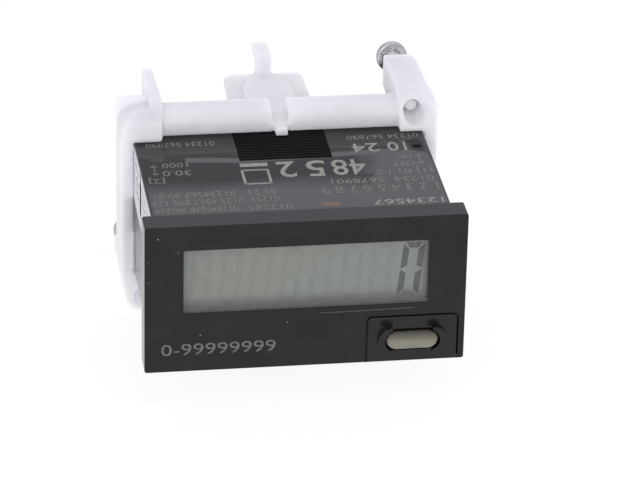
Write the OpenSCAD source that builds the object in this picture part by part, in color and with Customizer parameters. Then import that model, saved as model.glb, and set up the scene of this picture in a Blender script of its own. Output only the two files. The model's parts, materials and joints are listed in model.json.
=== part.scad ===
// Panel-mounted pulse counter with a liquid-crystal display, reset key,
// rear screw terminals and a push-on clamp bracket.
// X runs to the right as the front is read, Y runs back into the panel, Z runs up.
// The origin is the middle of the panel cut-out, on the panel's front surface.

/* [Front bezel] */
// Width of the bezel
bezel_w = 48; // [44:0.5:60]
// Height of the bezel
bezel_h = 24; // [23.5:0.5:32]
// Thickness of the bezel in front of the panel
bezel_t = 4.1; // [3.6:0.1:6]
// Radius of the bezel's four corners
bezel_corner_r = 0.4; // [0.2:0.1:1.5]
// How far the bezel covers the panel beside the case
bezel_lip_x = 1.6; // [1.2:0.1:2.4]
// How far the bezel covers the panel above and below the case
bezel_lip_z = 1.0; // [0.8:0.1:1.6]

/* [Case] */
// Depth of the case shell behind the panel's front surface
case_d = 39.8; // [37:0.5:56]
// Wall thickness of the case
wall = 1.3; // [1.1:0.1:1.6]
// Thickness of the wall behind the bezel's front face
front_wall = 1.6; // [1.6:0.1:2]
// Radius of the case's long outer edges
case_edge_r = 0.4; // [0.2:0.1:0.8]
// Thickness of the rear cover's flange
cover_t = 1.5; // [1.2:0.1:2]
// Length of the rear cover's spigot inside the case
spigot_d = 4.4; // [4.2:0.2:6]
// Wall thickness of the spigot
spigot_wall = 1.1; // [0.8:0.1:1.4]

/* [Pawl ridges on the case] */
// Width of the ridged patch
ridge_w = 14.2; // [14:0.2:20]
// Distance from one ridge to the next
ridge_pitch = 0.95; // [0.8:0.05:1.4]
// Depth of the grooves between ridges
ridge_depth = 0.45; // [0.3:0.05:0.6]
// Distance from the panel to the first groove
ridge_start = 19.3; // [14:0.1:22]
// Number of grooves
ridge_count = 17; // [8:1:18]

/* [Display] */
// Width of the display window
window_w = 36.7; // [30:0.1:37]
// Height of the display window
window_h = 10.2; // [8:0.1:10.6]
// Depth of the lens below the bezel's face
lens_inset = 0.15; // [0.05:0.05:0.3]
// Thickness of the lens
lens_t = 1.0; // [0.8:0.1:1.1]
// How far the lens reaches past the window on each side
lens_lap = 1.15; // [0.6:0.05:1.25]
// Thickness of each of the two display glasses
glass_t = 1.1; // [0.7:0.1:1.2]
// How far the front glass reaches past the window on each side
glass_lap_x = 1.65; // [1.2:0.05:1.7]
// How far the front glass reaches past the window above and below
glass_lap_z = 1.4; // [1.3:0.1:1.5]
// Height of the contact ledge on the front glass
glass_ledge = 1.2; // [1.1:0.1:1.3]
// Thickness of the reflector film
reflector_t = 0.25; // [0.2:0.05:0.3]
// Thickness of the contact strips
strip_t = 1.0; // [0.8:0.1:1]

/* [Circuit boards] */
// Thickness of both boards
board_t = 1.2; // [1:0.1:1.6]
// Depth of the display board's seat behind the panel's front surface
display_board_y = 4.2; // [3.8:0.1:5]
// Height of the main board's upper side above the middle of the case
board_top_z = 2.6; // [2.2:0.1:3]
// Gap between the main board and the rear cover's spigot
board_rear_gap = 0.3; // [0.2:0.1:1]
// Diameter of the coin cell
cell_dia = 24.5; // [20:0.5:24.5]
// Thickness of the coin cell
cell_t = 5.0; // [3.2:0.1:5.4]
// Thickness of the cell's welded tabs
tab_t = 0.2; // [0.15:0.05:0.3]

/* [Reset key] */
// Width of the key panel let into the bezel
key_panel_w = 13.4; // [12.6:0.1:14]
// Height of the key panel above the bezel's lower edge
key_panel_h = 7.4; // [7.2:0.1:8]
// Thickness of the key panel
key_panel_t = 1.2; // [1:0.1:1.3]
// Width of the groove round the key panel
key_groove = 0.25; // [0.1:0.05:0.4]
// Depth of the groove round the key panel
key_groove_d = 0.5; // [0.3:0.1:0.8]
// Distance from the bezel's right edge to the key panel
key_panel_margin = 1.2; // [1:0.1:2]
// Width of the key cap
key_w = 7.8; // [6:0.1:8.4]
// Height of the key cap
key_h = 3.0; // [2.4:0.1:3.2]
// How far the key stands out of the bezel's face
key_proud = 0.5; // [0.2:0.1:1]
// Travel of the key
key_travel = 0.7; // [0.4:0.1:1]
// Height of the finger guard round the key's ends
guard_h = 0.7; // [0.4:0.1:1]
// Wall thickness of the finger guard beside the key
guard_wall = 1.1; // [0.8:0.1:1.2]
// Wall thickness of the finger guard above and below the key
guard_edge = 0.55; // [0.4:0.05:0.8]
// Gap in the guard above and below the key
guard_gap = 6.0; // [3:0.1:6.4]

/* [Slide switches] */
// Distance from the panel to the middle of the switch slots
slot_y = 16.8; // [14:0.1:18]
// Width of the slots
slot_w = 2.4; // [2.2:0.1:3]
// Height of the switch knobs
knob_h = 2.0; // [1.6:0.1:2.4]
// Travel of the knobs
knob_travel = 2.6; // [2:0.1:3]

/* [Rear terminals] */
// Distance from one terminal to the next
terminal_pitch = 10.4; // [9.6:0.1:11]
// Height of the terminal block
terminal_h = 12; // [11:0.5:14]
// Thickness of the barriers between terminals
barrier_t = 1.3; // [1:0.1:1.6]
// Depth of the terminal block's base
base_d = 3.5; // [3.5:0.1:5]
// Length of the barriers beyond the base
barrier_d = 6.6; // [5:0.1:8]
// Diameter of the terminal screws
terminal_screw_dia = 3.5; // [3:0.5:4]
// Head diameter of the terminal screws
terminal_head_dia = 7.0; // [6:0.5:7.6]
// Head height of the terminal screws
terminal_head_t = 2.3; // [2:0.1:2.8]
// Length of the terminal screws below the head
terminal_screw_l = 5.5; // [5:0.1:5.8]
// Thickness of the terminal plates and of the square washers
plate_t = 0.8; // [0.6:0.1:1]
// Width across the square washers
washer_w = 7.4; // [6.6:0.1:8]

/* [Clamp bracket] */
// Thickness of the bracket's side arms
arm_t = 1.95; // [1.4:0.05:2.4]
// Sideways clearance between the bracket and the case
bracket_clear = 0.2; // [0.15:0.05:0.4]
// Play between the bracket and the case above and below, when centred
bracket_play = 1.05; // [0.9:0.05:1.4]
// How far the bracket hangs below the middle of the case
bracket_drop = 0.8; // [0.4:0.05:0.85]
// Distance from the panel to the bracket's corner blocks
bracket_y = 26.5; // [22:0.5:30]
// How far the rails stand back from the corner blocks
rail_setback = 2.0; // [1:0.1:3]
// Depth of the bracket's ring
ring_d = 7.3; // [6:0.1:10]
// Height of the rails
rail_h = 3.55; // [3:0.05:4.5]
// Radius along the rails' front edge
rail_r = 2.3; // [1.5:0.1:2.8]
// Height of the screw lugs over the rails' inner side
lug_h = 5.25; // [5:0.05:6]
// Width of the screw lugs
lug_w = 5.9; // [5.4:0.1:6.4]
// Length of the screw lugs
lug_d = 17.6; // [14:0.2:20]
// Radius of the lower screw lug round its screw
boss_r = 2.8; // [2.4:0.1:3]
// Width of the corner blocks
block_w = 6.55; // [6.2:0.05:8]
// Thickness of the guide ribs
rib_t = 2.2; // [1.6:0.1:2.4]
// Length of the guide ribs, from the corner blocks' front
rib_d = 16.1; // [12:0.1:18]
// Place of the pawl's tongue, to the right of the middle
tongue_x = 0.4; // [0:0.1:1]
// Width of the pawl's tongue
tongue_w = 1.9; // [1.5:0.1:2.4]
// Width of the notch in the rail
notch_w = 2.7; // [2.6:0.1:3.4]
// Width of the pawl plate
pawl_w = 13.4; // [12:0.2:13.8]
// Length of the pawl plate behind the ring
pawl_d = 14.4; // [10:0.2:15]
// Thickness of the pawl plate
pawl_t = 1.05; // [0.9:0.05:1.4]
// Width of the thumb tab
thumb_w = 2.4; // [2:0.1:4]
// Height of the thumb tab over the pawl plate
thumb_h = 3.8; // [2.4:0.1:5]
// Length of the thumb tab
thumb_d = 5.9; // [4:0.1:8]

/* [Clamp screws] */
// Diameter of the clamp screws
clamp_dia = 3.0; // [2.6:0.1:3]
// Length of the clamp screws below the head
clamp_l = 18; // [17:0.5:20]
// Head diameter of the clamp screws
clamp_head_dia = 4.9; // [4.4:0.1:5]
// Head height of the clamp screws
clamp_head_t = 2.0; // [1.6:0.1:2.4]
// Travel of the clamp screws until the heads meet the lugs
clamp_travel = 5.0; // [3:0.1:6]
// Distance from the case's side to the clamp screws, measured inwards
clamp_inset = 1.4; // [1.2:0.1:1.8]
// Distance from the rails' inner side to the clamp screws
clamp_rise = 2.3; // [2:0.1:2.6]

/* [Side label] */
// Thickness of the side label
label_t = 0.08; // [0.05:0.01:0.1]
// Height of the side label
label_h = 8.6; // [6:0.1:9]
// Length of the side label
label_d = 31; // [20:1:32]

/* [Hidden] */
$fn = 48;
// Small gap between parts that are laid in each other, and overlap used inside one part
gap = 0.1;
over = 0.3;
// Case and cavity
case_w = bezel_w - 2 * bezel_lip_x;
case_h = bezel_h - 2 * bezel_lip_z;
cavity_w = case_w - 2 * wall;
cavity_h = case_h - 2 * wall;
cavity_y = -bezel_t + front_wall;
dimple_r = 0.7;
dimple_y = 21.8;
dimple_x = case_w / 2 - 1.9;
dimple_deep = 0.4;
catch_y = case_d - spigot_d + 0.7;
catch_d = 2.4;
catch_h = 6;
catch_play = 0.2;
cover_y = case_d;
base_y = case_d + cover_t;
seat_y = base_y + base_d;
// Display stack
glass_w = window_w + 2 * glass_lap_x;
glass_h = window_h + 2 * glass_lap_z;
glass_y = cavity_y;
glass_top_gap = 0.3;
lens_w = window_w + 2 * lens_lap;
lens_h = window_h + 2 * lens_lap;
lens_gap = 0.05;
window_r = 0.4;
window_z = cavity_h / 2 - glass_top_gap - glass_h / 2;
reflector_y = glass_y + 2 * glass_t;
holder_y = reflector_y + reflector_t;
holder_rim = 1.5;
ledge_x = glass_w / 2 + 0.3;
// Boards
display_board_rear = display_board_y + board_t;
board_w = cavity_w - 0.8;
board_end = case_d - spigot_d - board_rear_gap;
board_low_z = board_top_z - board_t;
board_ledge = 1.1;
board_mid_y = (display_board_rear + board_end) / 2;
cell_y = board_mid_y - 1;
cell_z = board_top_z + tab_t;
tab_w = 4;
// Reset key
key_panel_x = bezel_w / 2 - key_panel_margin - key_panel_w / 2;
key_z = -cavity_h / 2 + 1.3;
key_stem_r = 1.0;
key_flange_t = 0.8;
key_ear = 1.0;
key_ear_h = 2.2;
dome_h = 1.4;
dome_r = 1.1;
key_gap = 0.25;
key_panel_r = 0.7;
// Slide switches
switch_w = 4.0;
switch_d = 8.0;
switch_h = cavity_h / 2 - board_top_z - 0.3;
knob_w = slot_w - 0.6;
knob_low = board_top_z + 1.6;
knob_play = 0.2;
groove_h = knob_h + knob_travel + 2 * knob_play;
groove_d = 1.5;
// Terminals
block_half = 2 * terminal_pitch + barrier_t / 2;
plate_w = terminal_pitch - barrier_t - 0.5;
plate_h = terminal_h - 3.4;
nut_r = terminal_screw_dia / 2 + 1.05;
nut_d = 1.8;
tail_w = 1.0;
tail_x = plate_w / 2 - tail_w;
tail_end = board_end - 2.2;
screw_clear = 0.05;
washer_clear = 0.08;
washer_y = seat_y + plate_t;
head_y = washer_y + plate_t;
// Bracket, measured from its own middle
ring_w = case_w / 2 + bracket_clear;
ring_z = case_h / 2 + bracket_play;
arm_x = ring_w + arm_t;
rail_y = bracket_y + rail_setback;
ring_end = bracket_y + ring_d;
lug_end = bracket_y + lug_d;
lug_x = arm_x - lug_w;
screw_x = case_w / 2 - clamp_inset;
screw_z = ring_z + clamp_rise;
clamp_head_y = lug_end + clamp_travel + gap;
slope_foot = 0.6;
block_top = rail_h + 0.3;
block_corner_r = 4;
flange_t = 1.3;
flange_top = rail_h + 1.3;
arm_rebate_w = 1.1;
arm_rebate_d = 0.2;
rebate_near = 1.9;
rebate_far = 9.2;
rib_in = 0.5;
rib_draft = 0.6;
lug_edge_r = 1.85;
lug_crease_r = 4;
lug_draft_angle = 1.6;
block_foot_r = 0.6;
arm_end = 2;
fillet_w = 0.8;
fillet_h = 2;
tongue_t = 1.25;
pawl_edge_r = 1.4;
pawl_taper = 0.5;
pad_w = 7.8;
pad_arch_d = 8.4;
pad_margin = 0.4;
pad_t = 0.6;
post_d = 1.8;
thumb_arm_t = 1.6;
// Label
label_y = 3;
label_top = case_h / 2 - 0.4;

// Box between two corners
module block(low, high) translate(low) cube(high - low);

// Outline drawn in X and Z, made solid from y0 to y1
module slab(y0, y1) translate([0, y1, 0]) rotate([90, 0, 0]) linear_extrude(y1 - y0) children();

// Outline drawn in Y and Z, made solid from x0 to x1
module fin(x0, x1) translate([x0, 0, 0]) rotate([90, 0, 90]) linear_extrude(x1 - x0) children();

// Round bar along Y
module bar_y(x, z, y0, y1, r) translate([x, y1, z]) rotate([90, 0, 0]) cylinder(h = y1 - y0, r = r);

// Rectangle with round corners, centred
module rounded(w, h, r) {
    square([w - 2 * r, h], center = true);
    square([w, h - 2 * r], center = true);
    for (sx = [-1, 1], sz = [-1, 1]) translate([sx * (w / 2 - r), sz * (h / 2 - r)]) circle(r);
}

// Flat-sided oval, centred
module oval(w, h) {
    square([w - h, h], center = true);
    for (s = [-1, 1]) translate([s * (w - h) / 2, 0]) circle(h / 2);
}

// Points of an arc
function arc(c, r, a0, a1, n = 8) = [for (i = [0 : n]) let (a = a0 + (a1 - a0) * i / n)
    [c[0] + r * cos(a), c[1] + r * sin(a)]];

// Row of grooves cut into the case where the pawl grips
module ridge_cut() {
    teeth = [for (i = [0 : ridge_count - 1]) for (p = [[0, over], [0, -ridge_depth],
        [0.25 * ridge_pitch, -ridge_depth], [0.75 * ridge_pitch, 0], [0.75 * ridge_pitch, over]])
        [ridge_start + i * ridge_pitch + p[0], p[1]]];
    fin(-ridge_w / 2, ridge_w / 2) polygon(teeth);
}

// Case and bezel, moulded as one piece and open at the back
module case_shell() color("#2c2d30") {
    difference() {
        union() {
            slab(-bezel_t, 0) rounded(bezel_w, bezel_h, bezel_corner_r);
            slab(-over, case_d) rounded(case_w, case_h, case_edge_r);
        }
        slab(cavity_y, case_d + 1) square([cavity_w, cavity_h], center = true);
        translate([0, 0, window_z]) {
            slab(-bezel_t - 1, cavity_y + over) rounded(window_w, window_h, window_r);
            slab(-bezel_t - 1, -bezel_t + lens_inset + lens_t)
                rounded(lens_w + 2 * lens_gap, lens_h + 2 * lens_gap, window_r + lens_gap);
        }
        slab(-bezel_t - 1, -bezel_t + key_panel_t) key_outline(key_groove, 1);
        translate([key_panel_x, 0, key_z]) slab(-bezel_t - 1, cavity_y + key_flange_t + key_travel + over)
            oval(key_w + 2 * key_gap, key_h + 2 * key_gap);
        for (s = [-1, 1]) {
            translate([s * case_w / 2, slot_y, knob_low - knob_play + groove_h / 2])
                cube([2 * wall + 1, slot_w, groove_h + over], center = true);
            translate([s * case_w / 2, catch_y + catch_d / 2, 0])
                cube([2 * wall + 1, catch_d + 2 * catch_play, catch_h + 2 * catch_play], center = true);
            mirror([0, 0, s < 0 ? 1 : 0]) translate([0, 0, case_h / 2]) ridge_cut();
        }
        translate([dimple_x, dimple_y, case_h / 2 - dimple_deep]) cylinder(h = 1, r = dimple_r);
    }
    for (s = [-1, 1]) mirror([s < 0 ? 1 : 0, 0, 0]) {
        block([ledge_x, cavity_y - over, window_z - glass_h / 2],
            [cavity_w / 2 + over, display_board_y, cavity_h / 2 + over]);
        block([cavity_w / 2 - board_ledge, display_board_rear + 0.4, board_low_z - 1],
            [cavity_w / 2 + over, board_end, board_low_z]);
    }
}

// Rear cover with its spigot, catches and terminal block
module rear_cover() color("#2a2b2e")
    difference() {
        union() {
            slab(cover_y, base_y) rounded(case_w, case_h, case_edge_r);
            slab(case_d - spigot_d, cover_y + over)
                square([cavity_w - 2 * gap, cavity_h - 2 * gap], center = true);
            block([-block_half, base_y - over, -terminal_h / 2], [block_half, seat_y, terminal_h / 2]);
            for (i = [-2 : 2]) translate([i * terminal_pitch, 0, 0])
                block([-barrier_t / 2, seat_y - over, -terminal_h / 2],
                    [barrier_t / 2, seat_y + barrier_d, terminal_h / 2]);
            for (s = [-1, 1]) mirror([s < 0 ? 1 : 0, 0, 0])
                block([cavity_w / 2 - over, catch_y, -catch_h / 2],
                    [case_w / 2 - 0.4, catch_y + catch_d, catch_h / 2]);
        }
        slab(case_d - spigot_d - 1, cover_y)
            square([cavity_w - 2 * gap - 2 * spigot_wall, cavity_h - 2 * gap - 2 * spigot_wall],
                center = true);
        for (i = [0 : 3]) translate([terminal_x(i), 0, 0]) {
            bar_y(0, 0, seat_y - nut_d - 0.2, seat_y + 1, nut_r + 0.2);
            bar_y(0, 0, head_y - terminal_screw_l - 0.3, seat_y, terminal_screw_dia / 2 + 0.25);
        }
        for (i = [0 : 3]) tail(i, cover_y - 1, gap);
    }

// Middle of one terminal
function terminal_x(i) = (i - 1.5) * terminal_pitch;

// Tail of one terminal plate, on the side towards the middle, grown all round
module tail(i, y0, grow) {
    inner = i < 2 ? tail_x : -tail_x - tail_w;
    translate([terminal_x(i), 0, 0]) block([inner - grow, y0, board_top_z - grow],
        [inner + tail_w + grow, seat_y + 0.2, board_top_z + plate_t + grow]);
}

// Clear window lens
module display_lens() color("#c8d0d0", 0.35)
    translate([0, 0, window_z]) slab(-bezel_t + lens_inset, -bezel_t + lens_inset + lens_t)
        rounded(lens_w, lens_h, window_r);

// Sealed pair of display glasses, the front one with a contact ledge above and below
module lcd_panel() color("#a4a99e") translate([0, 0, window_z]) {
    slab(glass_y, glass_y + glass_t) square([glass_w, glass_h], center = true);
    slab(glass_y + glass_t - 0.01, glass_y + 2 * glass_t)
        square([glass_w, glass_h - 2 * glass_ledge], center = true);
}

// Reflector film behind the display glasses
module lcd_reflector() color("#b9bcb4") translate([0, 0, window_z])
    slab(reflector_y, reflector_y + reflector_t) square([window_w + 2, window_h], center = true);

// Frame that holds the glasses off the board and locates the contact strips
module lcd_holder() color("#e4e4de") translate([0, 0, window_z]) difference() {
    slab(holder_y, display_board_y) square([glass_w, glass_h], center = true);
    slab(holder_y - 1, display_board_y + 1)
        square([window_w - 2 * holder_rim, window_h - 2 * holder_rim], center = true);
    for (s = [-1, 1]) translate([0, 0, s * (glass_h / 2 - glass_ledge / 2 + 0.5)])
        slab(holder_y - 1, display_board_y + 1) square([glass_w - 1.4, glass_ledge + 1.2], center = true);
}

// Rubber contact strip between the front glass and the display board
module contact_strip(side) color("#3a3a40")
    translate([0, 0, window_z + side * (glass_h / 2 - glass_ledge / 2 + 0.05)])
        slab(glass_y + glass_t, display_board_y) square([glass_w - 1.8, strip_t], center = true);

// Upright board behind the display
module display_board() color("#2f6b3d")
    slab(display_board_y, display_board_rear) square([cavity_w - 0.4, cavity_h - 0.4], center = true);

// Level board along the case
module main_board() color("#2f6b3d")
    block([-board_w / 2, display_board_rear, board_low_z], [board_w / 2, board_end, board_top_z]);

// Angled pin strip that joins the two boards
module board_link() color("#1e1e20") {
    pitch = 2.54;
    link_w = 10 * pitch;
    link_s = 2.5;
    pin = 0.64;
    block([-link_w / 2, display_board_rear, board_low_z - link_s],
        [link_w / 2, display_board_rear + link_s, board_low_z]);
    for (i = [0 : 9]) translate([(i - 4.5) * pitch, display_board_rear + link_s - 0.01,
        board_low_z - link_s / 2])
        block([-pin / 2, 0, -pin / 2], [pin / 2, 1.2, pin / 2]);
}

// Flat counting chip with leads on two sides, under the main board
module controller_chip() color("#1b1b1d") translate([0, board_mid_y - 4, board_low_z]) {
    body_w = 10;
    body_t = 1.7;
    lead_w = 0.4;
    lead_l = 1.4;
    block([-body_w / 2, -body_w / 2, -body_t], [body_w / 2, body_w / 2, -0.15]);
    for (s = [-1, 1], i = [0 : 9]) translate([i - 4.5, s * (body_w / 2 + lead_l / 2 - gap), 0])
        block([-lead_w / 2, -lead_l / 2, -0.5], [lead_w / 2, lead_l / 2, 0]);
}

// Watch crystal lying under the main board
module clock_crystal() color("#c9ccd0") {
    can_r = 1.0;
    can_l = 6;
    bar_y(-14, board_low_z - can_r, board_mid_y - 7, board_mid_y - 7 + can_l, can_r);
}

// Capacitor can standing under the main board
module storage_capacitor() color("#2b3550") {
    can_l = 6.5;
    can_r = 2.5;
    foot_l = 1;
    translate([13, board_mid_y + 7, board_low_z - can_l]) {
        cylinder(h = can_l - foot_l, r = can_r);
        translate([0, 0, can_l - foot_l - 0.01]) cylinder(h = foot_l + 0.01, r = can_r - over);
    }
}

// Small coupler for the counting input, under the main board
module input_isolator() color("#e9e9ea") translate([-13, board_mid_y + 8, board_low_z]) {
    half_w = 2.3;
    half_d = 3.2;
    lead = 0.6;
    lead_y = 1.27;
    block([-half_w, -half_d, -3.6], [half_w, half_d, -over]);
    for (s = [-1, 1], i = [-1, 1]) translate([s * (half_w + lead / 2 - 0.05), i * lead_y, 0])
        block([-lead / 2, -lead / 2, -2], [lead / 2, lead / 2, 0]);
}

// Row of chip resistors under the main board
module chip_resistors() color("#303034") {
    chip = [1.2, 2, 0.55];
    for (i = [0 : 5]) translate([(i - 2.5) * 3 - chip[0] / 2, board_mid_y + 11 - chip[1] / 2,
        board_low_z - chip[2]])
        cube(chip);
}

// Coin cell on the main board
module battery_cell() color("#b8bbbe") translate([0, cell_y, cell_z]) {
    step_h = 1;
    step_r = 0.9;
    cylinder(h = step_h, r = cell_dia / 2 - step_r);
    translate([0, 0, step_h - 0.01]) cylinder(h = cell_t - step_h + 0.01, r = cell_dia / 2);
}

// Flat tab under the coin cell
module battery_tab_lower() color("#c4c6c8")
    block([-tab_w / 2, cell_y - cell_dia / 2 - 1, board_top_z], [tab_w / 2, cell_y + 4, cell_z]);

// Bent tab over the coin cell, down to the board behind it
module battery_tab_upper() color("#c4c6c8") {
    top_z = cell_z + cell_t;
    end_y = cell_y + cell_dia / 2 + 0.8;
    block([-tab_w / 2, cell_y - 4, top_z], [tab_w / 2, end_y, top_z + tab_t]);
    block([-tab_w / 2, end_y - tab_t, board_top_z], [tab_w / 2, end_y, top_z + tab_t]);
}

// Outline of the key panel with round upper corners, grown at its sides and reaching down past the bezel
module key_outline(grow, down) translate([key_panel_x, -bezel_h / 2]) {
    half = key_panel_w / 2 + grow;
    top = key_panel_h + grow;
    translate([-half, -down]) square([2 * half, top - key_panel_r + down]);
    translate([-half + key_panel_r, -down]) square([2 * (half - key_panel_r), top + down]);
    for (s = [-1, 1]) translate([s * (half - key_panel_r), top - key_panel_r]) circle(key_panel_r);
}

// Panel let into the bezel round the key, with a finger guard at each end of the key
module key_panel() color("#303136") difference() {
    union() {
        slab(-bezel_t, -bezel_t + key_panel_t) key_outline(0, 0);
        slab(-bezel_t + key_groove_d, -bezel_t + key_panel_t) key_outline(key_groove - gap, 0);
        translate([key_panel_x, 0, key_z]) slab(-bezel_t - guard_h, -bezel_t + over)
            oval(key_w + 2 * key_gap + 2 * guard_wall, key_h + 2 * key_gap + 2 * guard_edge);
    }
    translate([key_panel_x, 0, key_z]) {
        slab(-bezel_t - guard_h - 1, 0) oval(key_w + 2 * key_gap, key_h + 2 * key_gap);
        block([-guard_gap / 2, -bezel_t - guard_h - 1, -key_h - 2], [guard_gap / 2, -bezel_t, key_h + 2]);
    }
}

// Key cap with its retaining ears and its stem
module reset_key() color("#9a9786") translate([key_panel_x, 0, key_z]) {
    slab(-bezel_t - key_proud, cavity_y + key_flange_t) oval(key_w, key_h);
    block([-key_w / 2 - key_ear, cavity_y, -key_ear_h / 2],
        [key_w / 2 + key_ear, cavity_y + key_flange_t, key_ear_h / 2]);
    bar_y(0, 0, cavity_y + key_flange_t - 0.01, display_board_y - dome_h - key_travel - gap, key_stem_r);
}

// Rubber dome on the display board behind the key
module key_dome() color("#55565c") translate([key_panel_x, display_board_y, key_z]) rotate([90, 0, 0])
    rotate_extrude() polygon([[0, 0], [dome_r, 0], [dome_r, 0.3], [dome_r - 0.3, 0.9],
        [dome_r - 0.3, dome_h],
        [0, dome_h]]);

// Body of a slide switch, standing on the main board against the case wall
module switch_body(side) color("#3b3c40") mirror([side < 0 ? 1 : 0, 0, 0]) difference() {
    block([cavity_w / 2 - switch_w - gap, slot_y - switch_d / 2, board_top_z],
        [cavity_w / 2 - gap, slot_y + switch_d / 2, board_top_z + switch_h]);
    block([cavity_w / 2 - gap - groove_d, slot_y - knob_w / 2 - gap, knob_low - knob_play],
        [cavity_w / 2 + 1, slot_y + knob_w / 2 + gap, knob_low - knob_play + groove_h]);
}

// Knob of a slide switch, just short of the case's side
module switch_knob(side) color("#d8d6cc") mirror([side < 0 ? 1 : 0, 0, 0])
    block([cavity_w / 2 - groove_d, slot_y - knob_w / 2, knob_low],
        [case_w / 2 - 0.15, slot_y + knob_w / 2, knob_low + knob_h]);

// Terminal plate with its threaded collar and its tail to the main board
module terminal_plate(i) color("#c9c7bd") {
    translate([terminal_x(i), 0, 0]) difference() {
        union() {
            slab(seat_y, washer_y) square([plate_w, plate_h], center = true);
            bar_y(0, 0, seat_y - nut_d, seat_y + 0.2, nut_r);
        }
        bar_y(0, 0, seat_y - nut_d - 1, washer_y + 1, terminal_screw_dia / 2 + screw_clear);
    }
    tail(i, tail_end, 0);
}

// Square clamp washer held on the terminal screw
module terminal_washer(i) color("#cfccc2") translate([terminal_x(i), 0, 0]) difference() {
    slab(washer_y, head_y) square([washer_w, washer_w], center = true);
    bar_y(0, 0, washer_y - 1, head_y + 1, terminal_screw_dia / 2 + washer_clear);
}

// Pan-head screw along Y with a cross recess, its head's underside at y and its shank's end
// tapered by tip_l
module pan_screw(y, shank_r, shank_l, tip_l, head_r, head_t, cross_w, cross_l) difference() {
    translate([0, y, 0]) rotate([-90, 0, 0]) rotate_extrude() polygon(concat(
        [[0, -shank_l], [shank_r - 0.6 * tip_l, -shank_l], [shank_r, -shank_l + tip_l], [shank_r, 0],
            [head_r, 0]],
        [for (a = [0 : 10 : 90]) [head_r - 0.45 * head_t * (1 - cos(a)),
            0.45 * head_t + 0.3 * head_t * sin(a)]],
        [[0.45 * head_r, 0.95 * head_t], [0, head_t]]));
    for (turn = [0, 90]) translate([0, y + head_t, 0]) rotate([0, turn, 0])
        cube([cross_l, 1.3 * head_t, cross_w], center = true);
}

// Terminal screw
module terminal_screw(i) color("#cfccc2") translate([terminal_x(i), 0, 0])
    pan_screw(head_y, terminal_screw_dia / 2, terminal_screw_l, 0.5, terminal_head_dia / 2,
        terminal_head_t, 1.0, 4.2);

// Clamp screw; the upper one is on the right and the lower one on the left
module clamp_screw(side) color("#c8c2a0") translate([side * screw_x, 0, side * screw_z - bracket_drop])
    pan_screw(clamp_head_y, clamp_dia / 2, clamp_l, 0.9, clamp_head_dia / 2, clamp_head_t, 0.8, 3.2);

// Rail between the corner blocks, round along its front edge and notched for the tongue
module rail() difference() {
    fin(-arm_x + block_w - 1, lug_x + 1) polygon(concat([[rail_y, ring_z]],
        arc([rail_y + rail_r, ring_z + rail_h - rail_r], rail_r, 180, 90),
        arc([ring_end - 0.6, ring_z + rail_h - 0.6], 0.6, 90, 0, 3), [[ring_end, ring_z]]));
    block([tongue_x - notch_w / 2, bracket_y, ring_z - 1],
        [tongue_x + notch_w / 2, ring_end + 1, ring_z + rail_h + 1]);
}

// Corner block without a screw, with its flange and its guide rib
module corner_block() {
    inner = arm_x - block_w;
    intersection() {
        fin(-arm_x, -inner) polygon([[bracket_y, -1], [bracket_y, ring_z + slope_foot],
            [bracket_y + 1.4, ring_z + 2.6], [bracket_y + 3.6, ring_z + block_top],
                [ring_end, ring_z + block_top],
            [ring_end, -1]]);
        slab(bracket_y, ring_end) polygon(concat(
            arc([-inner - block_foot_r, ring_z + block_foot_r], block_foot_r, 270, 360, 6),
            [[-inner, ring_z + block_top]],
            arc([-arm_x + block_corner_r, ring_z + block_top - block_corner_r], block_corner_r, 90, 180,
                10),
            [[-arm_x, ring_z - 1]], [[-ring_w, ring_z - 1]], [[-ring_w, ring_z]]));
    }
    slab(ring_end - flange_t, ring_end) polygon(concat([[-inner - 0.5, ring_z],
        [-inner - 0.5, ring_z + flange_top]],
        arc([-arm_x + 0.8, ring_z + flange_top - 0.8], 0.8, 90, 180, 4),
            [[-arm_x, ring_z - 1], [-ring_w, ring_z - 1],
        [-ring_w, ring_z]]));
    rib_x = -inner + rib_in;
    intersection() {
        fin(rib_x - rib_t, rib_x) polygon([[bracket_y + 3, ring_z],
            [bracket_y + 3, ring_z + block_top - 0.3],
            [bracket_y + 5, ring_z + lug_h], [bracket_y + rib_d, ring_z + lug_h],
                [bracket_y + rib_d, ring_z]]);
        linear_extrude(ring_z + lug_h + 1) polygon([[rib_x - rib_t, bracket_y], [rib_x, bracket_y],
            [rib_x - rib_draft, bracket_y + rib_d], [rib_x - rib_t, bracket_y + rib_d]]);
    }
}

// Upper screw lug, with a sloping front and a round outer edge, over its side arm
module upper_lug() {
    top = ring_z + lug_h;
    rise = lug_h - slope_foot;
    intersection() {
        fin(lug_x, arm_x) polygon(concat([[bracket_y, ring_z], [bracket_y, ring_z + slope_foot]],
            arc([bracket_y + rise + lug_crease_r * tan(22.5), top - lug_crease_r], lug_crease_r, 135, 90,
                6),
            [[lug_end, top], [lug_end, ring_z]]));
        translate([arm_x, bracket_y, 0]) rotate([0, 0, lug_draft_angle]) slab(-1, lug_d + 1)
            polygon(concat([[-lug_w - 2, ring_z - 1], [-lug_w - 2, top]],
            arc([-lug_edge_r, top - lug_edge_r], lug_edge_r, 90, 0, 8), [[0, ring_z - 1]]));
    }
    hull() {
        fin(arm_x - 0.4, arm_x) polygon([[bracket_y, ring_z - 1], [bracket_y, top - 0.7 * lug_edge_r],
            [ring_end, top - 0.7 * lug_edge_r], [ring_end, ring_z - 1]]);
        fin(screw_x + 1, ring_w) polygon([[bracket_y, ring_z], [bracket_y, ring_z + slope_foot],
            [bracket_y + rise - 0.8, top - 0.8], [ring_end, top - 0.8], [ring_end, ring_z]]);
    }
    fin(ring_w + 0.1, arm_x) polygon([[bracket_y, ring_z - 1], [bracket_y, ring_z + 1],
        [ring_end, ring_z + 1], [ring_end, ring_z - 1]]);
}

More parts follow.
